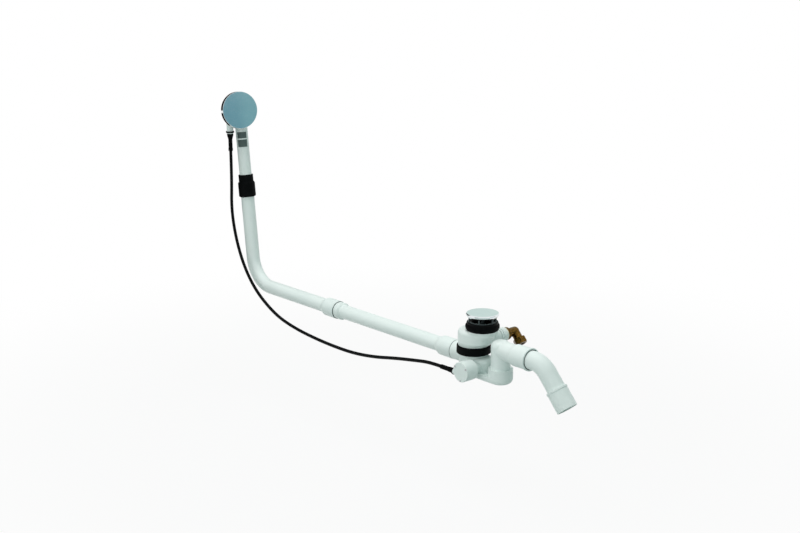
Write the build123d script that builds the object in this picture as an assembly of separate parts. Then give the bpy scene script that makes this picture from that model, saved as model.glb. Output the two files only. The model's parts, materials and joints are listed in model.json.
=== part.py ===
from build123d import *
import math
import os

# Bath waste and overflow with a water inlet at the waste
# Origin: centre of the waste, on top of the seal that lies under the bath
# +X runs along the overflow pipe towards the outlet, +Z is up, sizes in millimetres

# Fits
push_gap = 0.15
turn_gap = 0.3

# Waste cover, flange and seal on the waste axis
cover_d = 67.6
cover_h = 7.7
cover_rim = 4.6
cover_round = 2.2
cover_taper = 2.3
cover_lip = 1.3
plate_t = 2.2
slot_h = 10.5
rib_count = 6
rib_turn = -59.0
rib_inset = 0.4
rib_depth = 3.0
rib_w = 2.4
post_d = 8.0
flange_d = 65.0
rim_h = 3.4
neck_d = 50.8
neck_wall = 2.9
neck_l = 24.0
seal_d = 70.5
seal_h = 14.5

# Inlet body, from the waste axis down to the tee axis
tee_x = -25.0
throat_wall = 3.15
throat_h = 6.3
lip_w = 3.3
lip_h = 3.2
bulge_d = 76.0
bulge_h = 27.7
bulge_shift = -18.0
bulge_gap = 0.7
bulge_round = 9.0
bulge_foot = 10.0
bulge_inset = 3.0
tail_d = 64.8
tail_l = 8.3
body_wall = 2.9

# Water inlet branch and brass elbow
branch_x = 2.0
branch_share = 0.462
branch_d = 22.0
branch_wall = 3.0
branch_past = 6.0
nut_y = 43.0
nut_l = 17.0
nut_wall = 4.5
washer_w = 3.0
washer_t = 2.5
elbow_flange_w = 2.4
elbow_flange_l = 8.0
elbow_l = 29.5
elbow_bore = 13.0
leg_fall = 48.0
leg_l = 23.5
leg_wall = 2.0
tube_d = 15.0
hex_wall = 2.5
hex_l = 14.0
olive_l = 5.0

# Clamp ring and drain valve on the tee axis
ring_wall = 3.2
ring_lip_t = 2.3
ring_clear = 0.8
tee_collar_t = 3.1
seat_t = 3.0
seat_lap = 3.0
valve_d = 42.0
valve_t = 3.0
valve_washer_t = 2.3
valve_lift = 12.0
stem_d = 8.0

# Waste tee and trap
tee_h = 31.3
tee_ledge = 2.4
tee_wall = 3.0
shelf_x = 0.0
shelf_h = 27.0
shelf_round = 9.0
pipe_up = 24.0
stub_step = 4.5
stub_l = 52.0
bowl_d = 51.0
bowl_h = 15.5
bowl_wall = 2.8
cup_h = 13.0
cup_gap = 2.5
riser_seal_t = 2.4
riser_collar_t = 3.0
outlet_z = -45.5
outlet_reach = 84.5
outlet_socket_l = 40.0
outlet_socket_wall = 3.3
outlet_bead = 1.3
outlet_bead_l = 6.0

# Outlet bend and end sleeve
bend_d = 38.4
bend_wall = 1.9
bend_lead = 29.9
bend_fall = 51.6
bend_turn = 4.7
bend_r = 45.0
bend_insert = 20.0
sleeve_start = 57.7
sleeve_l = 44.4
sleeve_wall = 2.5

# Overflow pipe run
pipe_d = 32.0
pipe_wall = 1.9
upright_x = -798.8
upright_lean = 5.9
upright_top = 245.0
bend_pipe_r = 70.0
socket_step = 5.0
socket_l = 50.0
socket_flare = 12.0
socket_1_x = -470.0
joint_t = 1.4
collar_step = 3.5
collar_l = 18.0
tail_pipe_d = 29.2
rubber_wall = 4.5
rubber_low_l = 33.5
rubber_round = 3.2
rubber_step = 4.0
rubber_top_wall = 3.1
rubber_top_l = 20.5

# Overflow head
head_turn = 12.0
head_tilt = 8.0
head_s = 424.3
head_side = 17.5
head_back = 30.0
tail_drop = 14.0
knob_d = 88.0
knob_t = 12.0
knob_rear = 4.0
knob_wall = 1.8
knob_round = 0.6
hub_d = 24.0
spindle_d = 10.0
crank_r = 7.0
crank_d = 21.0
crank_t = 6.0
nipple_d = 3.4
housing_d = 56.0
housing_depth = 28.0
housing_wall = 2.8
housing_rim = 4.0
wall_seal_t = 5.0
wall_flange_t = 3.2
screw_inset = 1.6
screw_d = 3.4
screw_l = 15.0
screw_head_d = 6.4
screw_head_t = 2.0
screw_post_d = 7.0
screw_post_l = 22.0

# Pull cable and its glands; the hang is the free part between the two straight leads
cable_d = 7.5
wire_way = 5.0
upper_lead = 71.5
lower_lead = 36.0
cable_hang = [
    (-836.7, -38.0, 106.0),
    (-818.5, -39.0, 32.0),
    (-784.8, -40.0, -32.0),
    (-734.8, -41.0, -83.0),
    (-659.0, -42.0, -121.8),
    (-587.0, -43.0, -136.2),
    (-512.0, -43.5, -143.0),
    (-438.0, -44.0, -145.6),
    (-364.0, -45.0, -144.3),
    (-290.0, -46.0, -134.9),
    (-217.0, -47.0, -119.4),
    (-152.0, -48.0, -108.0),
]
gland_back = 16.5
gland_aside = 12.7
gland_drop = 20.95
gland_d = 16.0
gland_h = 30.0
gland_ring_d = 19.6
gland_ring_t = 3.6
ferrule_d = 15.4
ferrule_t = 2.2
upper_boot_l = 42.0
upper_boot_d = 15.2
boot_neck_d = 9.8
boot_end_d = 10.8
lower_boot_d = 11.0
lower_boot_l = 38.0
lower_boot_step = 12.0

# Valve lift gear
shaft_x = 8.0
shaft_d = 8.0
lever_hub_d = 16.0
lever_w = 12.0
nose_d = 8.0
nose_drop = 6.0
boss_d = 22.0
boss_reach = 12.5
box_d = 42.0
box_l = 28.0
box_wall = 2.4
box_cover_t = 3.4
box_post_d = 4.6
box_screw_d = 2.2
box_spigot_d = 13.0
box_spigot_l = 19.0
spigot_ring_t = 2.0
drum_t = 8.0
drum_gap = 3.6
drum_inset = 3.5
drum_nipple_d = 5.0

# Sizes that follow: cover, flange and inlet body
cover_low = rim_h + slot_h
cover_top = cover_low + cover_h
plate_low = cover_low + rib_inset
plate_top = plate_low + plate_t
cover_in = cover_d / 2 - cover_taper - cover_lip
rib_d = 2 * (cover_in - turn_gap - rib_inset)
neck_bore = neck_d - 2 * neck_wall
throat_d = neck_d + 2 * push_gap + 2 * throat_wall
lip_d = throat_d + 2 * lip_w
throat_top = -seal_h - lip_h
bulge_top = throat_top - throat_h
bulge_low = bulge_top - bulge_h
tail_low = bulge_low - tail_l
bulge_roof = -seal_h - bulge_gap
bulge_waist = bulge_low + bulge_foot

# Sizes that follow: water inlet
branch_z = bulge_top - branch_share * bulge_h
branch_bore = branch_d - 2 * branch_wall
washer_y = nut_y + nut_l
branch_end = washer_y + branch_past
elbow_y0 = washer_y + washer_t
elbow_y = elbow_y0 + elbow_l
leg_d = tube_d + 2 * leg_wall
elbow_d = leg_d + 2 * turn_gap
tube_bore = tube_d + 2 * push_gap
hex_af = leg_d + 2 * hex_wall
nut_start = leg_l + olive_l + 3 - hex_l

# Sizes that follow: clamp ring, valve, tee and trap
ring_top = bulge_low + 0.2
seat_top = tail_low
seat_low = seat_top - seat_t
tee_top = seat_low
ring_low = tee_top - tee_collar_t - turn_gap - ring_lip_t
ring_d = tail_d + 2 * turn_gap + 2 * ring_wall
seat_hole_d = valve_d - 2 * seat_lap
tee_d = tail_d - 2 * tee_ledge
bowl_top = ring_low - tee_h
bowl_low = bowl_top - bowl_h
cup_top = bowl_top + cup_h
cup_bore = bowl_d - 2 * bowl_wall
pipe_z = bowl_top + pipe_up
shelf_z = bowl_top + shelf_h
stub_d = pipe_d + 2 * stub_step
stub_x = tee_x - stub_l
riser_x = shelf_x + bowl_d + cup_gap
riser_d = cup_bore - 2 * riser_seal_t
outlet_neck_d = riser_d - 2 * turn_gap
outlet_socket_d = bend_d + 2 * outlet_socket_wall
outlet_x = riser_x + outlet_reach
bend_x = outlet_x + bend_lead
bend_l = sleeve_start + bend_insert
sleeve_d = bend_d + 2 * sleeve_wall
sleeve_end = sleeve_start + sleeve_l

# Sizes that follow: overflow pipes and head
pipe_bore = pipe_d - 2 * pipe_wall
spigot_bore = pipe_bore - 2
socket_d = pipe_d + 2 * socket_step
socket_bore = pipe_d + 2 * push_gap
socket_2_x = stub_x - joint_t
collar_d = pipe_d + 2 * collar_step
rubber_low_d = pipe_d + 2 * rubber_wall
rubber_top_d = tail_pipe_d + 2 * rubber_top_wall
housing_in = housing_d / 2 - housing_wall
housing_rim_d = housing_d + 2 * housing_rim
screw_r = housing_in - screw_inset
wall_flange_bore = 2 * screw_r - screw_head_d - 0.8
knob_face = knob_rear + knob_t
seal_back = -wall_seal_t
house_back = seal_back - housing_depth
tail_top = head_s - tail_drop

# Sizes that follow: lift gear and cable ends
shaft_z = bowl_top + boss_d / 2
boss_end = bowl_d / 2 + boss_reach
box_end = boss_end + box_l
box_face = box_end + box_cover_t
box_screw_r = box_d / 2 - 2.6
drum_d = 2 * box_screw_r - box_post_d - 4 * turn_gap
drum_r = drum_d / 2 - drum_inset
drum_mid = boss_end + box_wall + drum_gap + drum_t / 2
arm_x = tee_x - shaft_x
arm_l = math.hypot(arm_x, nose_drop)
lever_turn = 2 * math.asin(valve_lift / 2 / arm_l)
knob_turn = lever_turn * drum_r / crank_r
cable_z = shaft_z - drum_r
box_spigot_x = shaft_x - box_d / 2 - box_spigot_l
boot_top = box_spigot_x - spigot_ring_t
cable_end = (boot_top - lower_boot_l, -drum_mid, cable_z)


def lathe(frame, points):
    """Body turned about the frame's Z axis from (radius, height) or (radius, height, rounding) corners."""
    face = make_face(Polyline([(p[0], 0, p[1]) for p in points], close=True)).face()
    for p in points:
        if len(p) == 3:
            corner = face.vertices().sort_by_distance((p[0], 0, p[1]))[0]
            face = face.fillet_2d(p[2], [corner])
    return frame.location * revolve(face, Axis.Z)


def rod(frame, diameter, start, end):
    """Cylinder on the frame's Z axis between two heights."""
    return frame.location * Pos(0, 0, (start + end) / 2) * Cylinder(diameter / 2, end - start)


def round_rod(frame, diameter, start, end):
    """Rod with half a ball beyond its end, turned in one piece."""
    edge = Polyline((0, end + diameter / 2), (0, start), (diameter / 2, start), (diameter / 2, end))
    edge += CenterArc((0, end), diameter / 2, 0, 90)
    return frame.location * revolve(Plane.XZ * make_face(edge), Axis.Z)


def tube(frame, outer, inner, start, end):
    """Plain ring on the frame's Z axis between two heights."""
    return rod(frame, outer, start, end) - rod(frame, inner, start - 1, end + 1)


def bent_rod(points, radii, diameter):
    """Round bar along straight runs joined by arcs."""
    path = FilletPolyline(*points, radius=radii)
    start = Plane(origin=path @ 0, z_dir=path % 0)
    return sweep(start * Circle(diameter / 2), path)


def spokes(count, inner, outer, width, low, high, turn=0.0):
    """Radial bars about the Z axis."""
    bar = Pos((inner + outer) / 2, 0, (low + high) / 2) * Box(outer - inner, width, high - low)
    return Compound([Rot(0, 0, turn + 360 * i / count) * bar for i in range(count)])


def long_block(left, right, width, low, high):
    """Upright block with round ends between two centres on X."""
    outline = Pos((left + right) / 2, 0, low) * SlotCenterToCenter(right - left, width)
    return extrude(outline, amount=high - low)


def along(point, direction, side=(0, 1, 0)):
    """Frame at a point with its Z axis along a direction."""
    return Plane(origin=point, x_dir=side, z_dir=direction)


def save(name, shape):
    """Write one piece to its own file."""
    export_step(shape, f"parts/{name}.step")


os.makedirs("parts", exist_ok=True)
flat = Plane.XY
waste = Plane.XY
tee = Plane(origin=(tee_x, 0, 0))

# Cover on its ribbed cage
cover = lathe(
    waste,
    [
        (0, plate_top),
        (cover_in, plate_top),
        (cover_in, cover_low),
        (cover_d / 2 - cover_taper, cover_low),
        (cover_d / 2, cover_top - cover_rim, 0.8),
        (cover_d / 2, cover_top, cover_round),
        (0, cover_top),
    ],
)
save("waste_cover", cover)

rib_in = rib_d / 2 - rib_depth
cage = rod(waste, 2 * cover_in - 2 * turn_gap, plate_low, plate_top)
cage += spokes(rib_count, rib_in, rib_d / 2, rib_w, rim_h, plate_low + 0.5, rib_turn)
cage += tube(waste, rib_d, 2 * rib_in, rim_h, rim_h + 1.6)
cage += rod(waste, post_d, 1 - neck_l / 2, plate_low + 0.5)
save("cover_cage", cage)

# Flange with its neck and the spider that takes the cover's post
flange = lathe(
    waste,
    [
        (neck_bore / 2, -neck_l),
        (neck_d / 2, -neck_l, 0.6),
        (neck_d / 2, 0),
        (flange_d / 2, 0),
        (flange_d / 2, rim_h, 1.6),
        (neck_d / 2, rim_h, 0.8),
        (neck_bore / 2, 0.5),
    ],
)
spider_low = -neck_l / 2
spider_top = spider_low + 5
flange += spokes(3, post_d / 2 + 1, neck_bore / 2 + 1, 2.6, spider_low, spider_top)
flange += rod(waste, post_d + 6, spider_low, spider_top)
flange -= rod(waste, post_d + 2 * push_gap, spider_low - 1, spider_top + 1)
save("waste_flange", flange)

seal_in = neck_d / 2 + turn_gap
profile_seal = lathe(
    waste,
    [
        (seal_in, -seal_h),
        (seal_d / 2 - 2.6, -seal_h, 1.4),
        (seal_d / 2, -seal_h * 0.62, 2.5),
        (seal_d / 2, -seal_h * 0.3, 2.5),
        (seal_d / 2 - 2.4, 0, 1.0),
        (seal_in, 0),
    ],
)
save("profile_seal", profile_seal)


# Inlet body: squat chamber between the two axes, with lip, throat, tail and branch
def chamber(thinner):
    """Round chamber on its own axis, joined to the throat and drawn in to the tail, less a wall all round."""
    radius = bulge_d / 2 - thinner
    middle = Plane(origin=(bulge_shift, 0, 0))
    waist = Plane(origin=(bulge_shift, 0, bulge_waist)) * Circle(radius)
    room = lathe(
        middle,
        [
            (0, bulge_waist),
            (radius, bulge_waist),
            (radius, bulge_roof - thinner, bulge_round - thinner),
            (0, bulge_roof - thinner),
        ],
    )
    slope_end = Plane(origin=(bulge_shift, 0, bulge_waist + bulge_inset)) * Circle(radius - bulge_inset)
    room += loft([Plane(origin=(0, 0, bulge_top)) * Circle(throat_d / 2 - thinner), slope_end])
    return room + loft([waist, Plane(origin=(tee_x, 0, bulge_low)) * Circle(tail_d / 2 - thinner)])


branch = along((branch_x, 0, branch_z), (0, 1, 0), (1, 0, 0))
branch_root = bulge_d / 4
body = lathe(
    waste,
    [
        (0, bulge_top),
        (throat_d / 2, bulge_top),
        (throat_d / 2, throat_top),
        (lip_d / 2, throat_top, 0.8),
        (lip_d / 2, -seal_h, 1.2),
        (0, -seal_h),
    ],
)
body += chamber(0)
body += rod(tee, tail_d, tail_low, bulge_low)
body += rod(branch, branch_d + 4, branch_root, nut_y - 0.5)
body += rod(branch, branch_d, branch_root, branch_end)
body -= rod(waste, neck_d + 2 * push_gap, bulge_top, 0)
body -= chamber(body_wall)
body -= rod(tee, tail_d - 2 * body_wall, tail_low - 1, bulge_low)
body -= rod(branch, branch_bore, branch_root - 4, branch_end + 1)
save("inlet_body", body)

# Water connection on the branch
nut_in = branch_d / 2 + push_gap
nut_r = branch_d / 2 + nut_wall
union_nut = lathe(
    branch,
    [
        (nut_in, nut_y),
        (nut_r - 1.4, nut_y, 0.8),
        (nut_r - 1.4, nut_y + 4),
        (nut_r, nut_y + 5),
        (nut_r, washer_y, 1.2),
        (nut_in, washer_y),
    ],
)
save("union_nut", union_nut)
save("inlet_washer", tube(branch, branch_d + 2 * washer_w, 2 * nut_in, washer_y, elbow_y0))

fall = math.radians(leg_fall)
elbow_corner = Pos(branch_x, elbow_y, branch_z)
leg = along((branch_x, elbow_y, branch_z), (math.cos(fall), 0, -math.sin(fall)))
elbow_flange_r = branch_d / 2 + elbow_flange_w
elbow = lathe(
    branch,
    [
        (0, elbow_y0),
        (elbow_flange_r, elbow_y0, 0.8),
        (elbow_flange_r, elbow_y0 + elbow_flange_l, 2),
        (elbow_d / 2, elbow_y0 + elbow_flange_l + 2),
        (elbow_d / 2, elbow_y),
        (0, elbow_y),
    ],
)
elbow += elbow_corner * Sphere(elbow_d / 2)
elbow += rod(leg, leg_d, 0, leg_l)
elbow -= rod(branch, 2 * nut_in, elbow_y0 - 1, branch_end + 0.5)
elbow -= rod(branch, elbow_bore, elbow_y0, elbow_y)
elbow -= elbow_corner * Sphere(elbow_bore / 2)
elbow -= rod(leg, elbow_bore, 0, leg_l + 1)
elbow -= rod(leg, tube_bore, leg_l - 10, leg_l + 1)
save("inlet_elbow", elbow)

nut_end = nut_start + hex_l
hexagon = Pos(0, 0, nut_start) * extrude(RegularPolygon(hex_af / 2, 6, major_radius=False), amount=hex_l)
nut_cone = lathe(
    flat,
    [
        (0, nut_start),
        (hex_af * 0.54, nut_start),
        (hex_af * 0.6, nut_start + 3),
        (hex_af * 0.6, nut_end - 3),
        (hex_af * 0.5, nut_end),
        (0, nut_end),
    ],
)
comp_nut = hexagon & nut_cone
comp_nut -= rod(flat, leg_d + 2 * push_gap, nut_start - 1, leg_l + olive_l)
comp_nut -= rod(flat, tube_bore, nut_start, nut_end + 1)
save("compression_nut", leg.location * comp_nut)
save("compression_olive", tube(leg, leg_d - 1, tube_bore, leg_l, leg_l + olive_l))

# Clamp ring and valve seat
ring_in = tail_d / 2 + turn_gap
ring_lip = tee_d / 2 + turn_gap
clamp_ring = lathe(
    tee,
    [
        (ring_in, ring_top),
        (ring_d / 2 - 0.6, ring_top, 1.5),
        (ring_d / 2, ring_low, 2.2),
        (ring_lip, ring_low),
        (ring_lip, ring_low + ring_lip_t),
        (ring_in, ring_low + ring_lip_t),
    ],
)
save("clamp_ring", clamp_ring)
guide_d = stem_d + 8
seat = tube(flat, tail_d, seat_hole_d, seat_low, seat_top)
seat += spokes(3, guide_d / 2 - 2, seat_hole_d / 2 + 2, 2.6, seat_low - 3, seat_low + 1)
seat += rod(flat, guide_d, seat_low - 5, seat_low + 1)
seat -= rod(flat, stem_d + 2 * push_gap, seat_low - 6, seat_top + 1)
save("valve_seat", tee.location * seat)

# Valve plug with its stem, standing on the lift lever
stem_low = shaft_z - nose_drop + nose_d / 2 + turn_gap
washer_low = seat_top + 0.2
plug_low = washer_low + valve_washer_t
plug = lathe(
    tee,
    [
        (0, stem_low),
        (stem_d / 2, stem_low, 0.8),
        (stem_d / 2, washer_low),
        (valve_d / 4, washer_low),
        (valve_d / 4, plug_low),
        (valve_d / 2, plug_low),
        (valve_d / 2, plug_low + valve_t, 1.2),
        (0, plug_low + valve_t),
    ],
)
save("valve_plug", plug)
save("valve_washer", tube(tee, valve_d + 1, valve_d / 2 + 2 * push_gap, washer_low, plug_low))

# Waste tee: upright chamber, shelf towards the trap, overflow stub and shaft boss
overflow = along((tee_x, 0, pipe_z), (-1, 0, 0))
shaft = along((shaft_x, 0, shaft_z), (0, -1, 0), (1, 0, 0))
shelf = long_block(tee_x, shelf_x, bowl_d, bowl_top, shelf_z)
shelf = fillet(shelf.faces().sort_by(Axis.Z)[-1].edges(), shelf_round)
lower = rod(tee, tee_d, bowl_top + 6, tee_top)
lower += rod(tee, tail_d, tee_top - tee_collar_t, tee_top)
lower += shelf
lower += rod(overflow, stub_d, tee_d / 3, stub_l) - rod(tee, ring_d + ring_clear, ring_low - ring_clear, 0)
spigot_l = stub_l + socket_l - socket_flare - 2
lower += rod(overflow, pipe_d, stub_l - 6, spigot_l)
lower += rod(shaft, boss_d, 10, boss_end)
lower -= rod(tee, tee_d - 2 * tee_wall, bowl_top + 6 + tee_wall, tee_top + 1)
shelf_bore = bowl_d - 2 * tee_wall
hollow = long_block(tee_x, shelf_x, shelf_bore, bowl_top - 1, shelf_z - tee_wall)
lower -= fillet(hollow.faces().sort_by(Axis.Z)[-1].edges(), shelf_round - tee_wall)
neck_x = ring_d / 2 + 4
lower -= rod(overflow, spigot_bore, neck_x, spigot_l + 1)
way_top = ring_low - tee_wall
way_low = pipe_z - spigot_bore / 2
way = Box(neck_x - 8, 0.85 * spigot_bore, way_top - way_low)
lower -= Pos(tee_x - neck_x / 2 - 7, 0, (way_top + way_low) / 2) * way
lower -= rod(shaft, shaft_d + 2 * push_gap, 5, boss_end + 1)
lower -= rod(shaft, shaft_d + 5, boss_end - 3, boss_end + 1)
save("waste_tee", lower)
save("shaft_ring", tube(shaft, shaft_d + 4.6, shaft_d + 2 * push_gap, boss_end - 3, boss_end))

# Trap bowl under the tee with its cup
bowl_round = 0.71 * bowl_h
bowl = long_block(tee_x, riser_x, bowl_d, bowl_low, bowl_top)
bowl = fillet(bowl.faces().sort_by(Axis.Z)[0].edges(), bowl_round)
riser = Plane(origin=(riser_x, 0, 0))
bowl += rod(riser, bowl_d, bowl_top - 1, cup_top)
room_top = bowl_top - bowl_wall
room = long_block(tee_x, riser_x, cup_bore, bowl_low + bowl_wall, room_top)
bowl -= fillet(room.faces().sort_by(Axis.Z)[0].edges(), bowl_round - bowl_wall)
bowl -= long_block(tee_x, shelf_x, shelf_bore, room_top - 1, bowl_top + 1)
bowl -= rod(riser, cup_bore, room_top - 1, cup_top + 1)
save("trap_bowl", bowl)

# Riser head with the outlet socket
outlet = along((riser_x, 0, outlet_z), (1, 0, 0))
mouth = outlet_reach - outlet_socket_l
socket_in = bend_d / 2 + turn_gap
bead_d = outlet_socket_d + 2 * outlet_bead
riser_top = outlet_z + riser_d / 2
riser_dome = 0.345 * riser_d
stand = rod(riser, riser_d, bowl_top, riser_top)
stand = fillet(stand.edges().filter_by(GeomType.CIRCLE).sort_by(Axis.Z)[-1], riser_dome)
stand += rod(riser, bowl_d, cup_top, cup_top + riser_collar_t)
stand += lathe(
    outlet,
    [
        (0, 0),
        (outlet_neck_d / 2, 0),
        (outlet_neck_d / 2, mouth - 6),
        (outlet_socket_d / 2, mouth),
        (outlet_socket_d / 2, outlet_reach - outlet_bead_l),
        (bead_d / 2, outlet_reach - outlet_bead_l + 0.8),
        (bead_d / 2, outlet_reach, 0.8),
        (0, outlet_reach),
    ],
)
core = rod(riser, riser_d - 2 * bowl_wall, bowl_top - 1, riser_top - bowl_wall)
core_rim = core.edges().filter_by(GeomType.CIRCLE).sort_by(Axis.Z)[-1]
stand -= fillet(core_rim, riser_dome - bowl_wall)
stand -= rod(outlet, outlet_neck_d - 2 * bowl_wall, 0, outlet_reach)
stand -= rod(outlet, 2 * socket_in, mouth + 2, outlet_reach + 1)
groove_d = 2 * socket_in + 2.8
stand -= rod(outlet, groove_d, outlet_reach - 4, outlet_reach + 1)
save("riser_head", stand)
riser_seal = tube(riser, cup_bore - 2 * push_gap, riser_d + 2 * push_gap, cup_top - 5, cup_top)
save("riser_seal", riser_seal)
outlet_seal = tube(outlet, groove_d - 2 * push_gap, 2 * socket_in, outlet_reach - 4, outlet_reach + 0.4)
save("outlet_seal", outlet_seal)

# Outlet bend and end sleeve, swivelled about the outlet axis
dive = math.radians(bend_fall)
down = Vector(math.cos(dive), 0, -math.sin(dive))
corner = Vector(bend_x, 0, outlet_z)
swivel = Pos(0, 0, outlet_z) * Rot(bend_turn, 0, 0) * Pos(0, 0, -outlet_z)
bend_points = [(riser_x + mouth + 4, 0, outlet_z), corner, corner + down * bend_l]
bend = bent_rod(bend_points, bend_r, bend_d)
bend -= bent_rod(bend_points, bend_r, bend_d - 2 * bend_wall)
save("outlet_bend", swivel * bend)
end_bore = bend_d / 2 + 0.2
stop_bore = bend_d / 2 - bend_wall
end_sleeve = lathe(
    along(corner, down),
    [
        (end_bore, sleeve_start),
        (sleeve_d / 2 + 0.9, sleeve_start, 0.6),
        (sleeve_d / 2 + 0.9, sleeve_start + 4),
        (sleeve_d / 2, sleeve_start + 5),
        (sleeve_d / 2, sleeve_end, 0.8),
        (end_bore, sleeve_end),
        (end_bore, bend_l + 2.2),
        (stop_bore, bend_l + 2.2),
        (stop_bore, bend_l + 0.2),
        (end_bore, bend_l + 0.2),
    ],
)
save("end_sleeve", swivel * end_sleeve)

# Overflow pipes
lean = math.radians(upright_lean)
rise = Vector(-math.sin(lean), 0, math.cos(lean))
foot = Vector(upright_x, 0, pipe_z)
upright = along(foot, rise)
run = along((0, 0, pipe_z), (1, 0, 0))


def socket(mouth_x):
    """Flared push-in socket on the run, its mouth towards the waste."""
    start = mouth_x - socket_l
    return lathe(
        run,
        [
            (pipe_bore / 2 + 0.5, start),
            (pipe_d / 2, start),
            (socket_d / 2, start + socket_flare),
            (socket_d / 2, mouth_x, 0.8),
            (pipe_bore / 2 + 0.5, mouth_x),
        ],
    )


def socket_hole(mouth_x):
    """Room for the next spigot in a socket."""
    return rod(run, socket_bore, mouth_x - socket_l + socket_flare, mouth_x + 1)


bend_run = [foot + rise * upright_top, foot, (socket_1_x - socket_l + 2, 0, pipe_z)]
bend_pipe = bent_rod(bend_run, bend_pipe_r, pipe_d) + socket(socket_1_x)
bend_pipe -= bent_rod(bend_run, bend_pipe_r, pipe_bore)
bend_pipe -= rod(run, pipe_bore, socket_1_x - socket_l, socket_1_x)
bend_pipe -= socket_hole(socket_1_x)
save("overflow_bend_pipe", bend_pipe)

collar_x = socket_1_x + joint_t
straight_start = socket_1_x - socket_l + socket_flare + 1
straight = rod(run, pipe_d, straight_start, socket_2_x - socket_l + 2)
straight += lathe(
    run,
    [
        (pipe_bore / 2 + 0.5, collar_x),
        (collar_d / 2, collar_x, 0.8),
        (collar_d / 2, collar_x + collar_l - 3),
        (pipe_d / 2, collar_x + collar_l),
        (pipe_bore / 2 + 0.5, collar_x + collar_l),
    ],
)
straight += socket(socket_2_x)
straight -= rod(run, pipe_bore, socket_1_x - socket_l, socket_2_x)
straight -= socket_hole(socket_2_x)
save("overflow_straight_pipe", straight)
save("bend_pipe_seal", tube(run, socket_d - 1.4, socket_bore, socket_1_x, collar_x))
save("straight_pipe_seal", tube(run, socket_d - 1.4, socket_bore, socket_2_x, stub_x))

# Rubber sleeve on the upright
rubber_mid = upright_top + 2
coupling = lathe(
    upright,
    [
        (socket_bore / 2, rubber_mid - rubber_low_l),
        (rubber_low_d / 2, rubber_mid - rubber_low_l, rubber_round),
        (rubber_low_d / 2, rubber_mid, 1.6),
        (rubber_top_d / 2, rubber_mid + rubber_step),
        (rubber_top_d / 2, rubber_mid + rubber_top_l, 1.2),
        (tail_pipe_d / 2 + push_gap, rubber_mid + rubber_top_l),
        (tail_pipe_d / 2 + push_gap, rubber_mid - 0.5),
        (socket_bore / 2, rubber_mid - 0.5),
    ],
)
save("coupling_sleeve", coupling)

# Overflow head: X sideways, Y up, Z out of the wall
turn = math.radians(head_turn)
tilt = math.radians(head_tilt)
out = Vector(math.cos(tilt) * math.cos(turn), -math.cos(tilt) * math.sin(turn), math.sin(tilt))
side = Vector(math.sin(turn), math.cos(turn), 0)
head_origin = foot + rise * head_s + out * head_back - side * head_side
head = Plane(origin=head_origin, x_dir=side, z_dir=out)
knob = lathe(
    head,
    [
        (0, knob_face - knob_wall),
        (knob_d / 2 - knob_wall, knob_face - knob_wall),
        (knob_d / 2 - knob_wall, knob_rear),
        (knob_d / 2, knob_rear),
        (knob_d / 2, knob_face, knob_round),
        (0, knob_face),
    ],
)
save("overflow_knob", knob)
hub_low = knob_rear + 1.5
hub_top = knob_face - knob_wall
hub = lathe(
    head,
    [
        (spindle_d / 2, hub_low),
        (hub_d / 2, hub_low, 0.6),
        (hub_d / 2, hub_top),
        (0, hub_top),
        (0, hub_top - 2),
        (spindle_d / 2, hub_top - 2),
    ],
)
save("knob_hub", hub)
chamber_low = house_back + housing_wall
crank_low = chamber_low + 5
crank_top = crank_low + crank_t
nipple_spot = Rot(0, 0, 180 + math.degrees(knob_turn) / 2) * Pos(crank_r, 0, 0)
spindle = rod(flat, spindle_d, chamber_low + 0.5, hub_top - 2)
spindle += rod(flat, crank_d, crank_low, crank_top)
spindle -= nipple_spot * rod(flat, nipple_d, crank_low - 1, crank_top + 1)
save("control_spindle", head.location * spindle)
nipple = nipple_spot * rod(flat, nipple_d, crank_low, crank_top)
save("upper_cable_nipple", head.location * nipple)


# Housing with its tail pipe, cable spigot, bearings and screw posts
def at_screws(shape):
    """One copy of a shape at each of the two screws."""
    return Compound([Pos(x, 0, 0) * shape for x in (-screw_r, screw_r)])


gland_low = upper_boot_l + ferrule_t + gland_ring_t
gland_top = gland_low + gland_h
cable_start = head_origin - Vector(gland_back, gland_aside, gland_drop + gland_top)
gland = Plane(origin=cable_start)
tail_bore = tail_pipe_d - 2 * pipe_wall
housing = lathe(
    head,
    [
        (0, house_back),
        (housing_d / 2, house_back, 7),
        (housing_d / 2, seal_back - 3),
        (housing_rim_d / 2, seal_back - 3),
        (housing_rim_d / 2, seal_back, 0.6),
        (0, seal_back),
    ],
)
housing += round_rod(upright, tail_pipe_d, upright_top + 2, tail_top)
housing += rod(gland, gland_d, gland_low, gland_top)
head_room = lathe(
    head,
    [
        (0, chamber_low),
        (housing_in, chamber_low, 1.5),
        (housing_in, seal_back + 1),
        (0, seal_back + 1),
    ],
)
head_room += round_rod(upright, tail_bore, upright_top + 1, tail_top)
head_room += rod(gland, wire_way, gland_low - 1, gland_top + 6)
housing -= head_room
bearing = rod(flat, spindle_d + 6, chamber_low - 1, crank_low - 0.5)
bearing += spokes(3, spindle_d / 2 + 1, housing_in + 1, 3, seal_back - 6, seal_back - 2, 90)
bearing += rod(flat, spindle_d + 7, seal_back - 6, seal_back - 1)
bearing -= rod(flat, spindle_d + 2 * push_gap, chamber_low + 0.2, seal_back)
bearing += at_screws(rod(flat, screw_post_d, seal_back - screw_post_l, seal_back))
housing += head.location * bearing
housing -= head.location * at_screws(rod(flat, screw_d, seal_back - screw_l - 1, seal_back + 1))
save("overflow_housing", housing)

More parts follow.
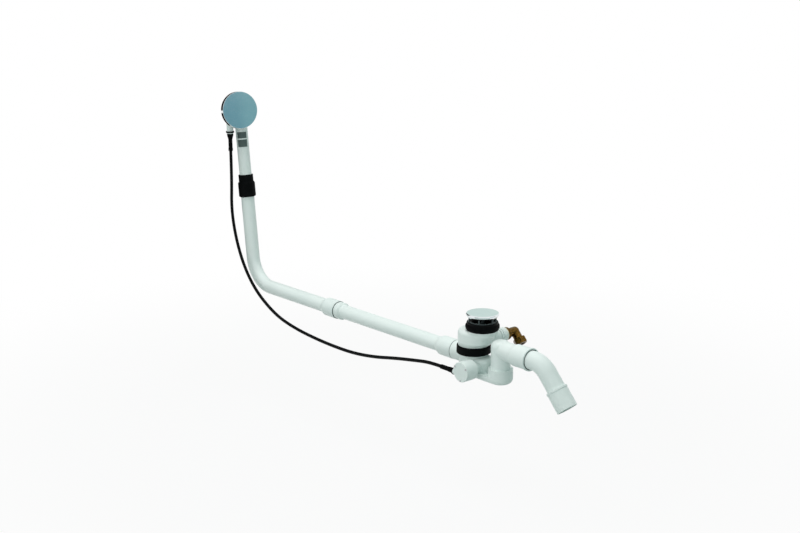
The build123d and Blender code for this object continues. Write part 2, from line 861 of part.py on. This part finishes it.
wall_flange_r = housing_rim_d / 2 - 0.6
save("overflow_seal", tube(head, housing_rim_d - 0.6, 2 * housing_in + 0.8, seal_back, 0))
wall_flange = lathe(
    flat,
    [
        (wall_flange_bore / 2, 0),
        (wall_flange_r, 0),
        (wall_flange_r, wall_flange_t, 1.2),
        (wall_flange_bore / 2, wall_flange_t, 0.8),
    ],
)
wall_flange -= at_screws(rod(flat, screw_d, -1, wall_flange_t + 1))
save("overflow_flange", head.location * wall_flange)
screw = lathe(
    flat,
    [
        (0, seal_back - screw_l),
        (screw_d / 2, seal_back - screw_l),
        (screw_d / 2, wall_flange_t),
        (screw_head_d / 2, wall_flange_t),
        (screw_head_d / 2, wall_flange_t + screw_head_t, 0.8),
        (0, wall_flange_t + screw_head_t),
    ],
)
save("flange_screws", head.location * at_screws(screw))

# Cable with its glands at both ends
save("gland_ring", rod(gland, gland_ring_d, gland_low - gland_ring_t, gland_low))
save("gland_ferrule", rod(gland, ferrule_d, upper_boot_l, upper_boot_l + ferrule_t))
upper_boot = lathe(
    gland,
    [
        (0, 0),
        (boot_end_d / 2, 0, 0.8),
        (boot_end_d / 2, 6, 0.8),
        (boot_neck_d / 2, 8),
        (boot_neck_d / 2, upper_boot_l * 0.66),
        (upper_boot_d / 2, upper_boot_l - 4),
        (upper_boot_d / 2, upper_boot_l),
        (0, upper_boot_l),
    ],
)
save("upper_boot", upper_boot)
cable_run = [cable_start, cable_start - Vector(0, 0, upper_lead)]
cable_run += [Vector(*p) for p in cable_hang]
cable_run += [Vector(*cable_end) - Vector(lower_lead, 0, 0), Vector(*cable_end)]
cable_radii = []
for before, here, after in zip(cable_run, cable_run[1:], cable_run[2:]):
    half_turn = math.radians((here - before).get_angle(after - here)) / 2
    shorter = min((here - before).length, (after - here).length)
    cable_radii.append(0.45 * shorter / math.tan(half_turn))
cable = bent_rod(cable_run, cable_radii, cable_d)
save("control_cable", cable)
print("cable length", round(FilletPolyline(*cable_run, radius=cable_radii).length, 1))
print("cable volume over section", round(cable.volume / (math.pi * cable_d**2 / 4), 1))
print("cable radii", [round(r, 1) for r in cable_radii])

spigot = along((0, -drum_mid, cable_z), (1, 0, 0))
boot_low = boot_top - lower_boot_l
lower_boot = lathe(
    spigot,
    [
        (0, boot_low),
        (boot_neck_d / 2, boot_low, 0.8),
        (boot_neck_d / 2, boot_top - lower_boot_step - 4),
        (lower_boot_d / 2, boot_top - lower_boot_step),
        (lower_boot_d / 2, boot_top),
        (0, boot_top),
    ],
)
save("lower_boot", lower_boot)
save("cable_spigot_ring", rod(spigot, box_spigot_d + 2, boot_top, box_spigot_x))


# Cable box on the shaft boss
def at_posts(shape):
    """One copy of a shape at each of the box's three screws."""
    return Compound([Rot(0, 0, angle) * Pos(box_screw_r, 0, 0) * shape for angle in (30, 150, 270)])


box = lathe(
    flat,
    [
        (0, boss_end),
        (box_d / 2, boss_end, 3),
        (box_d / 2, box_end),
        (0, box_end),
    ],
)
box += tube(flat, boss_d + 5, boss_d + 2 * push_gap, boss_end - 7, boss_end)
box = shaft.location * box + rod(spigot, box_spigot_d, box_spigot_x, shaft_x - box_d / 4)
box -= rod(shaft, box_d - 2 * box_wall, boss_end + box_wall, box_end + 1)
box -= rod(shaft, shaft_d + 2 * push_gap, boss_end - 1, box_end)
box -= rod(spigot, wire_way, box_spigot_x - 1, shaft_x)
box += shaft.location * at_posts(rod(flat, box_post_d, boss_end + box_wall - 0.5, box_end))
box -= shaft.location * at_posts(rod(flat, box_screw_d, box_end - 9, box_end + 1))
save("actuator_housing", box)
box_cover = lathe(
    flat,
    [
        (0, box_end),
        (box_d / 2, box_end),
        (box_d / 2, box_face, 1.6),
        (0, box_face),
    ],
)
box_cover -= at_posts(rod(flat, box_screw_d, box_end - 1, box_face + 1))
save("actuator_cover", shaft.location * box_cover)
box_screw = rod(flat, box_screw_d, box_end - 8, box_face)
box_screw += rod(flat, 1.8 * box_screw_d, box_face, box_face + 1.4)
save("actuator_screws", shaft.location * at_posts(box_screw))

# Shaft, drum and lever
drum_low = drum_mid - drum_t / 2
drum_top = drum_mid + drum_t / 2
save("lever_shaft", rod(shaft, shaft_d, -lever_w / 2 - 2, drum_top + 3))
drum_spot = Pos(0, -drum_r, 0)
drum = tube(flat, drum_d, shaft_d, drum_low, drum_top)
drum -= drum_spot * rod(flat, drum_nipple_d, drum_low - 1, drum_top + 1)
save("cable_drum", shaft.location * drum)
drum_nipple = drum_spot * rod(flat, drum_nipple_d, drum_low, drum_top)
save("lower_cable_nipple", shaft.location * drum_nipple)
arm_turn = math.degrees(math.atan2(-nose_drop, arm_x))
lever = rod(flat, lever_hub_d, -lever_w / 2, lever_w / 2)
lever += Rot(0, 0, arm_turn) * Pos(arm_l / 2, 0, 0) * Box(arm_l, nose_d - 1.5, lever_w - 4)
lever += Pos(arm_x, -nose_drop, 0) * rod(flat, nose_d, -lever_w / 2, lever_w / 2)
lever -= rod(flat, shaft_d, -lever_w, lever_w)
save("lift_lever", shaft.location * lever)
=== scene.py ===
import json
import math

import bpy
from mathutils import Matrix, Vector


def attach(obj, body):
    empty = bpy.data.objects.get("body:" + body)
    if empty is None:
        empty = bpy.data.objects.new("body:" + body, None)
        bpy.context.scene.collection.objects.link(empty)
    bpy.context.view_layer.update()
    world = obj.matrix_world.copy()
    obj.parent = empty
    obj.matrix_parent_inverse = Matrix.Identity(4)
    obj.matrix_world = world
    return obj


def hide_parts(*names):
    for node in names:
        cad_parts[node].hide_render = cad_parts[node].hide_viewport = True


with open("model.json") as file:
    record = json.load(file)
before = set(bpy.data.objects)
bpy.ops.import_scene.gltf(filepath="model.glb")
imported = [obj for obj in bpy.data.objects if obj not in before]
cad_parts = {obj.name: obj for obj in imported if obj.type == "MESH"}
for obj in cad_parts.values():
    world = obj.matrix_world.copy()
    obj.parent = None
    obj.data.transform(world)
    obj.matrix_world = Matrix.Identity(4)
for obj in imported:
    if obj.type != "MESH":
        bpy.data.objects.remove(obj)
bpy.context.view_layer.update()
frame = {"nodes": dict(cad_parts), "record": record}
nodes = frame["nodes"]
MM = 0.001


def add(name, data):
    """New object in the scene."""
    obj = bpy.data.objects.new(name, data)
    bpy.context.scene.collection.objects.link(obj)
    return obj


# Camera at the photograph's angle: metres and degrees, with the lens in millimetres
CAMERA_PLACE = (1.97132, -1.93655, 0.84262)
CAMERA_AZIMUTH = 48.99
CAMERA_ELEVATION = 14.69
CAMERA_ROLL = -0.31
CAMERA_LENS = 63.555
CAMERA_SENSOR = 36.0
CAMERA_REACH = 50.0


def make_camera():
    """Camera that stands where the photograph was taken from."""
    azimuth = math.radians(CAMERA_AZIMUTH)
    elevation = math.radians(CAMERA_ELEVATION)
    roll = math.radians(CAMERA_ROLL)
    back = Vector((
        math.sin(azimuth) * math.cos(elevation),
        -math.cos(azimuth) * math.cos(elevation),
        math.sin(elevation),
    ))
    level = Vector((math.cos(azimuth), math.sin(azimuth), 0))
    above = back.cross(level)
    right = level * math.cos(roll) + above * math.sin(roll)
    up = above * math.cos(roll) - level * math.sin(roll)
    data = bpy.data.cameras.new("camera")
    data.sensor_width = CAMERA_SENSOR
    data.lens = CAMERA_LENS
    data.clip_end = CAMERA_REACH
    camera = add("camera", data)
    turn = Matrix((right, up, back)).transposed().to_4x4()
    camera.matrix_world = Matrix.Translation(CAMERA_PLACE) @ turn
    bpy.context.scene.camera = camera


make_camera()

# Pull cable: the route's points, in millimetres
CABLE_DIAMETER = 7.5 * MM
CABLE_ROUND_STEPS = 6
CABLE_RUN_STEPS = 10
CABLE_ROUTE = [
    (-833.5, -36.0, 251.5),
    (-833.5, -36.0, 180.0),
    (-836.7, -38.0, 106.0),
    (-818.5, -39.0, 32.0),
    (-784.8, -40.0, -32.0),
    (-734.8, -41.0, -83.0),
    (-659.0, -42.0, -121.8),
    (-587.0, -43.0, -136.2),
    (-512.0, -43.5, -143.0),
    (-438.0, -44.0, -145.6),
    (-364.0, -45.0, -144.3),
    (-290.0, -46.0, -134.9),
    (-217.0, -47.0, -119.4),
    (-152.0, -48.0, -108.0),
    (-108.0, -48.0, -101.0),
    (-72.0, -48.0, -101.0),
]


def make_cable():
    """Black sheathed cable on one smooth line between the two boots."""
    curve = bpy.data.curves.new("pull_cable", "CURVE")
    curve.dimensions = "3D"
    # The points carry the cable's radius, so that the curve's box is the cable's own
    curve.bevel_depth = 1.0
    curve.bevel_resolution = CABLE_ROUND_STEPS
    curve.resolution_u = CABLE_RUN_STEPS
    curve.use_fill_caps = True
    spline = curve.splines.new("NURBS")
    spline.points.add(len(CABLE_ROUTE) - 1)
    for point, place in zip(spline.points, CABLE_ROUTE):
        point.co = (place[0] * MM, place[1] * MM, place[2] * MM, 1)
        point.radius = CABLE_DIAMETER / 2
    spline.order_u = 3
    spline.use_endpoint_u = True
    cable = add("pull_cable", curve)
    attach(cable, "fixed")
    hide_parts("control_cable")
    return cable


cable = make_cable()

# Two plain printed fields on the tail pipe under the overflow knob: heights in millimetres, turn in degrees
UPRIGHT_FOOT = Vector((-798.8, 0.0, -76.0)) * MM
UPRIGHT_LEAN = math.radians(5.9)
TAIL_RADIUS = 14.6 * MM
PRINT_LIFT = 0.04 * MM
PRINT_THICK = 0.12 * MM
PRINT_FIELDS = [(335.5, 353.2), (356.4, 371.5)]
PRINT_TURN = (-84.0, 12.0)
PRINT_STEPS = 40
PRINT_CORNERS = 4


def make_label():
    """Thin printed fields that follow the round of the pipe."""
    rise = Vector((-math.sin(UPRIGHT_LEAN), 0, math.cos(UPRIGHT_LEAN)))
    across = Vector((math.cos(UPRIGHT_LEAN), 0, math.sin(UPRIGHT_LEAN)))
    aside = Vector((0, 1, 0))
    points = []
    faces = []
    for low, high in PRINT_FIELDS:
        first = len(points)
        for step in range(PRINT_STEPS + 1):
            share = step / PRINT_STEPS
            angle = math.radians(PRINT_TURN[0] + share * (PRINT_TURN[1] - PRINT_TURN[0]))
            radial = across * math.cos(angle) + aside * math.sin(angle)
            inner = UPRIGHT_FOOT + radial * (TAIL_RADIUS + PRINT_LIFT)
            outer = inner + radial * PRINT_THICK
            points += [inner + rise * low * MM, outer + rise * low * MM]
            points += [outer + rise * high * MM, inner + rise * high * MM]
        for step in range(PRINT_STEPS):
            here = first + PRINT_CORNERS * step
            there = here + PRINT_CORNERS
            for side in range(PRINT_CORNERS):
                after = (side + 1) % PRINT_CORNERS
                faces.append((here + side, here + after, there + after, there + side))
        last = first + PRINT_CORNERS * PRINT_STEPS
        faces.append((first + 3, first + 2, first + 1, first))
        faces.append((last, last + 1, last + 2, last + 3))
    mesh = bpy.data.meshes.new("tail_label")
    mesh.from_pydata(points, [], faces)
    label = add("tail_label", mesh)
    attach(label, "fixed")
    return label


label = make_label()

# Materials: grey noise mostly lies between these two values
NOISE_LOW = 0.3
NOISE_HIGH = 0.7

# Paler patches on rubber, partly dust bloom and partly painted sheen: the noise values where they start and
# are full, and how much paler they are
DUST_SHEEN_START = 0.42
DUST_SHEEN_FULL = 0.8
DUST_SHEEN_GAIN = 1.9
DUST_SHEEN_LIFT = 0.001

# Specular level of rubber and of black plastic, which are both dull
RUBBER_SHINE = 0.04
BLACK_PLASTIC_SHINE = 0.05


class Finish:
    """A node material with one Principled shader and textures in metres."""

    def __init__(self, name):
        self.material = bpy.data.materials.new(name)
        self.material.use_nodes = True
        self.tree = self.material.node_tree
        self.shader = self.tree.nodes["Principled BSDF"]
        self.place = self.tree.nodes.new("ShaderNodeTexCoord").outputs["Object"]

    def set(self, **values):
        """Plain values on the shader's own sockets."""
        for name, value in values.items():
            self.shader.inputs[name.replace("_", " ")].default_value = value
        return self

    def noise(self, per_metre, detail=3.0, stretch=None):
        """Grey noise with so many grains to the metre."""
        node = self.tree.nodes.new("ShaderNodeTexNoise")
        node.inputs["Scale"].default_value = per_metre
        node.inputs["Detail"].default_value = detail
        source = self.place
        if stretch:
            scaled = self.tree.nodes.new("ShaderNodeVectorMath")
            scaled.operation = "MULTIPLY"
            scaled.inputs[1].default_value = stretch
            self.tree.links.new(source, scaled.inputs[0])
            source = scaled.outputs[0]
        self.tree.links.new(source, node.inputs["Vector"])
        return node.outputs["Fac"]

    def ramp(self, source, stops):
        """Colours that follow a grey value."""
        node = self.tree.nodes.new("ShaderNodeValToRGB")
        while len(node.color_ramp.elements) < len(stops):
            node.color_ramp.elements.new(0.5)
        for element, (place, colour) in zip(node.color_ramp.elements, stops):
            element.position = place
            element.color = (*colour, 1)
        self.tree.links.new(source, node.inputs["Fac"])
        return node.outputs["Color"]

    def colour(self, source, stops):
        """Base colour that follows a grey value."""
        self.tree.links.new(self.ramp(source, stops), self.shader.inputs["Base Color"])

    def roughen(self, source, low, high):
        """Roughness that follows a grey value from low to high."""
        node = self.tree.nodes.new("ShaderNodeMapRange")
        node.inputs["From Min"].default_value = NOISE_LOW
        node.inputs["From Max"].default_value = NOISE_HIGH
        node.inputs["To Min"].default_value = low
        node.inputs["To Max"].default_value = high
        self.tree.links.new(source, node.inputs["Value"])
        self.tree.links.new(node.outputs["Result"], self.shader.inputs["Roughness"])

    def bump(self, source, depth, strength=1.0):
        """Relief of so many metres, on top of any that is there already."""
        node = self.tree.nodes.new("ShaderNodeBump")
        node.inputs["Distance"].default_value = depth
        node.inputs["Strength"].default_value = strength
        self.tree.links.new(source, node.inputs["Height"])
        normal = self.shader.inputs["Normal"]
        if normal.is_linked:
            self.tree.links.new(normal.links[0].from_socket, node.inputs["Normal"])
        self.tree.links.new(node.outputs["Normal"], normal)


def moulded(name, dark, light, roughness, grain, depth):
    """Moulded plastic: slow shifts of tone, fine grain, uneven gloss."""
    finish = Finish(name)
    finish.colour(finish.noise(per_metre=14), [(NOISE_LOW, dark), (NOISE_HIGH, light)])
    finish.roughen(finish.noise(per_metre=160, detail=4), low=roughness - 0.05, high=roughness + 0.06)
    finish.bump(finish.noise(per_metre=grain, detail=2), depth)
    finish.bump(finish.noise(per_metre=55, detail=2), depth=depth * 3, strength=0.5)
    return finish


def plated(name, dark, light, low, high):
    """Polished metal plating with faint polishing lines."""
    finish = Finish(name).set(Metallic=1.0)
    finish.colour(finish.noise(per_metre=30), [(NOISE_LOW, dark), (NOISE_HIGH, light)])
    finish.roughen(finish.noise(per_metre=60, detail=5, stretch=(1, 9, 9)), low, high)
    finish.bump(finish.noise(per_metre=18, detail=1), depth=0.00002, strength=0.4)
    return finish


def rubber(name, tone, roughness):
    """Matt rubber with paler patches, partly dust bloom and partly painted sheen, and a fine tooth."""
    finish = Finish(name).set(Specular_IOR_Level=RUBBER_SHINE)
    # Paler patches at random places: partly dust bloom, partly painted sheen
    dust_and_sheen = tuple(value * DUST_SHEEN_GAIN + DUST_SHEEN_LIFT for value in tone)
    finish.colour(finish.noise(per_metre=70, detail=5), [(DUST_SHEEN_START, tone), (DUST_SHEEN_FULL, dust_and_sheen)])
    finish.roughen(finish.noise(per_metre=240, detail=4), low=roughness - 0.08, high=roughness + 0.1)
    finish.bump(finish.noise(per_metre=1500, detail=2), depth=0.00004)
    return finish


def browned(name, stops):
    """Cast and turned metal, browned in patches."""
    finish = Finish(name).set(Metallic=1.0)
    finish.colour(finish.noise(per_metre=320, detail=6), stops)
    finish.roughen(finish.noise(per_metre=300, detail=4), low=0.20, high=0.36)
    finish.bump(finish.noise(per_metre=900, detail=3), depth=0.00004)
    return finish


# Dark tone, light tone, roughness, grains to the metre, depth of the grain in metres
MOULDED = {
    "white_plastic": ((0.74, 0.835, 0.81), (0.78, 0.865, 0.84), 0.36, 1400, 0.00001),
    "black_plastic": ((0.0018, 0.0022, 0.0024), (0.004, 0.0047, 0.0050), 0.4, 1200, 0.00001),
    "slate_plastic": ((0.030, 0.045, 0.049), (0.046, 0.064, 0.068), 0.3, 1200, 0.00001),
    "cream_plastic": ((0.70, 0.66, 0.50), (0.78, 0.73, 0.58), 0.5, 1200, 0.00002),
    "print_grey": ((0.050, 0.085, 0.080), (0.075, 0.115, 0.108), 0.5, 900, 0.00001),
    "grey_plastic": ((0.24, 0.26, 0.27), (0.30, 0.32, 0.33), 0.45, 1200, 0.00002),
}
# Dark tone, light tone, lowest and highest roughness
PLATED = {
    "chrome": ((0.74, 0.79, 0.80), (0.80, 0.84, 0.85), 0.05, 0.10),
    "steel": ((0.48, 0.49, 0.50), (0.60, 0.61, 0.62), 0.25, 0.38),
}
# Tone and roughness
RUBBER = {
    "black_rubber": ((0.0016, 0.0020, 0.0022), 0.6),
    "seal_grey": ((0.055, 0.075, 0.075), 0.6),
}
# Noise value and tone
BRASS = [
    (0.30, (0.058, 0.033, 0.006)),
    (0.48, (0.105, 0.060, 0.011)),
    (0.64, (0.185, 0.100, 0.019)),
    (0.78, (0.38, 0.195, 0.040)),
]

materials = {"brass": browned("brass", BRASS)}
for make, slots in ((moulded, MOULDED), (plated, PLATED), (rubber, RUBBER)):
    for slot, values in slots.items():
        materials[slot] = make(slot, *values)
materials["black_plastic"].set(Specular_IOR_Level=BLACK_PLASTIC_SHINE)


def paint(obj, slot):
    """Give a piece or node the finish of a slot."""
    obj.data.materials.clear()
    obj.data.materials.append(materials[slot].material)


for subpart in frame["record"]["subparts"]:
    paint(nodes[subpart["node"]], subpart["material_slot"])
paint(nodes["cover_cage"], "slate_plastic")
paint(cable, "black_plastic")
paint(label, "print_grey")

# Stage: places and sizes in metres
CENTRE = (-0.3, 0.0, 0.05)
KNOB = (-0.80, -0.03, 0.353)
COVER = (0, 0, 0.02)
FLOOR_Z = -0.32
FLOOR_SIZE = 30.0
FLOOR_TONE = (0.42, 0.46, 0.45, 1)
FLOOR_ROUGHNESS = 0.9
SHADOW_NEAR = 0.5
SHADOW_FAR = 1.6
SHADOW_WHITE = 0.92
WORLD_TONE = (0.84, 1.0, 0.965, 1)
WORLD_STRENGTH = 0.50
WHITE = (1, 1, 1)
LAMP_TONE = (1.0, 0.90, 0.915)

# Name, place, size, watts
LAMPS = [
    ("top_lamp", (-0.5, -0.05, 2.5), 2.2, 45),
    ("front_lamp", (0.1, -2.8, 0.8), 1.8, 21),
]

# Tones that run across the width of a card
BLACK = (0.004, 0.005, 0.006)
GREY = (0.22, 0.25, 0.25)
DARK_TONES = [(0.0, BLACK), (1.0, BLACK)]
BAND_TONES = [(0.0, WHITE), (0.3, GREY), (0.7, GREY), (1.0, WHITE)]
FACE_TONES = [(0.775, (0.210, 0.413, 0.456)), (0.80, (0.155, 0.333, 0.400))]
COVER_TONES = [(0.0, (0.64, 0.79, 0.75)), (1.0, (0.72, 0.83, 0.79))]
FRONT_TONES = [(0.0, (0.62, 0.72, 0.71)), (1.0, (0.70, 0.78, 0.77))]
RIM_TONES = [(0.0, (0.55, 0.64, 0.62)), (1.0, (0.60, 0.68, 0.66))]

# Name, place, point that it faces, width, height, tones
CARDS = [
    ("face_card", (1.70, 0.70, 0.33), KNOB, 0.9, 0.9, FACE_TONES),
    ("side_card", (-1.5, 0.05, 0.78), (-0.8, 0.05, 0.78), 1.4, 1.0, DARK_TONES),
    ("foot_card", (-1.5, 0.05, -0.06), (-0.8, 0.05, -0.06), 1.4, 0.52, DARK_TONES),
    ("cover_card", (-1.46, 1.27, 0.53), COVER, 1.2, 0.9, COVER_TONES),
    ("front_card", (1.5, -1.3, 0.45), COVER, 2.2, 1.2, FRONT_TONES),
    ("left_card", (0.10, -2.4, 0.1), KNOB, 2.0, 1.5, BAND_TONES),
    ("right_card", (2.4, 1.9, 0.2), CENTRE, 2.0, 1.5, BAND_TONES),
    ("back_card", (-2.3, 2.2, 0.2), CENTRE, 2.0, 1.5, BAND_TONES),
    ("rim_card", (0.84, -0.83, -0.31), (0.84, -0.83, 1.0), 2.0, 2.0, RIM_TONES),
]


def shown_white(tree, plain, white, keep=None):
    """White to the camera, mirrors and glass, and the plain shader to all other light."""
    path = tree.nodes.new("ShaderNodeLightPath")
    seen = path.outputs["Is Camera Ray"]
    for kind in ("Is Glossy Ray", "Is Transmission Ray"):
        either = tree.nodes.new("ShaderNodeMath")
        either.operation = "MAXIMUM"
        tree.links.new(seen, either.inputs[0])
        tree.links.new(path.outputs[kind], either.inputs[1])
        seen = either.outputs[0]
    if keep is not None:
        share = tree.nodes.new("ShaderNodeMath")
        share.operation = "MULTIPLY"
        tree.links.new(seen, share.inputs[0])
        tree.links.new(keep, share.inputs[1])
        seen = share.outputs[0]
    white.inputs["Color"].default_value = (*WHITE, 1)
    mix = tree.nodes.new("ShaderNodeMixShader")
    tree.links.new(seen, mix.inputs["Fac"])
    tree.links.new(plain, mix.inputs[1])
    tree.links.new(white.outputs[0], mix.inputs[2])
    return mix.outputs[0]


def flat_mesh(name, width, height, z=0.0):
    """Mesh of one level face about the origin."""
    x, y = width / 2, height / 2
    mesh = bpy.data.meshes.new(name)
    mesh.from_pydata([(-x, -y, z), (x, -y, z), (x, y, z), (-x, y, z)], [], [(0, 1, 2, 3)])
    return mesh


def make_floor():
    """Plain pale floor that keeps a faint shadow near the object and is pure white further out."""
    mesh = flat_mesh("floor", FLOOR_SIZE, FLOOR_SIZE, FLOOR_Z)
    floor = add("floor", mesh)
    finish = Finish("floor").set(Base_Color=FLOOR_TONE, Roughness=FLOOR_ROUGHNESS)
    tree = finish.tree
    from_middle = tree.nodes.new("ShaderNodeVectorMath")
    from_middle.operation = "DISTANCE"
    from_middle.inputs[1].default_value = (CENTRE[0], CENTRE[1], FLOOR_Z)
    tree.links.new(finish.place, from_middle.inputs[0])
    fade = tree.nodes.new("ShaderNodeMapRange")
    fade.interpolation_type = "SMOOTHSTEP"
    fade.inputs["From Min"].default_value = SHADOW_NEAR
    fade.inputs["From Max"].default_value = SHADOW_FAR
    fade.inputs["To Min"].default_value = SHADOW_WHITE
    fade.inputs["To Max"].default_value = 1.0
    tree.links.new(from_middle.outputs["Value"], fade.inputs["Value"])
    white = tree.nodes.new("ShaderNodeEmission")
    shown = shown_white(tree, finish.shader.outputs[0], white, fade.outputs["Result"])
    tree.links.new(shown, tree.nodes["Material Output"].inputs["Surface"])
    mesh.materials.append(finish.material)


def make_world():
    """White to the camera and to mirrors, soft cool light to everything else."""
    world = bpy.data.worlds.new("studio")
    world.use_nodes = True
    tree = world.node_tree
    soft = tree.nodes["Background"]
    soft.inputs["Color"].default_value = WORLD_TONE
    soft.inputs["Strength"].default_value = WORLD_STRENGTH
    shown = shown_white(tree, soft.outputs[0], tree.nodes.new("ShaderNodeBackground"))
    tree.links.new(shown, tree.nodes["World Output"].inputs["Surface"])
    bpy.context.scene.world = world


def aim(obj, place, target, axis):
    """Put an object in its place, with one of its axes towards a point."""
    obj.location = place
    obj.rotation_euler = (Vector(target) - Vector(place)).to_track_quat(axis, "Y").to_euler()


def make_light(name, place, size, watts):
    """Large soft lamp that mirrors don't see."""
    data = bpy.data.lights.new(name, "AREA")
    data.shape = "DISK"
    data.size = size
    data.energy = watts
    data.color = LAMP_TONE
    lamp = add(name, data)
    lamp.visible_glossy = False
    aim(lamp, place, CENTRE, "-Z")


def make_card(name, place, target, width, height, tones):
    """Studio card that only mirrors see."""
    mesh = flat_mesh(name, width, height)
    card = add(name, mesh)
    aim(card, place, target, "Z")
    card.visible_camera = False
    card.visible_diffuse = False
    card.visible_transmission = False
    card.visible_volume_scatter = False
    card.visible_shadow = False
    finish = Finish(name)
    tree = finish.tree
    apart = tree.nodes.new("ShaderNodeSeparateXYZ")
    tree.links.new(finish.place, apart.inputs[0])
    across = tree.nodes.new("ShaderNodeMapRange")
    across.inputs["From Min"].default_value = -width / 2
    across.inputs["From Max"].default_value = width / 2
    tree.links.new(apart.outputs["X"], across.inputs["Value"])
    glow = tree.nodes.new("ShaderNodeEmission")
    tree.links.new(finish.ramp(across.outputs["Result"], tones), glow.inputs["Color"])
    tree.links.new(glow.outputs[0], tree.nodes["Material Output"].inputs["Surface"])
    mesh.materials.append(finish.material)


make_floor()
make_world()
for lamp in LAMPS:
    make_light(*lamp)
for card in CARDS:
    make_card(*card)
bpy.context.scene.view_settings.view_transform = "Standard"

bpy.context.view_layer.update()
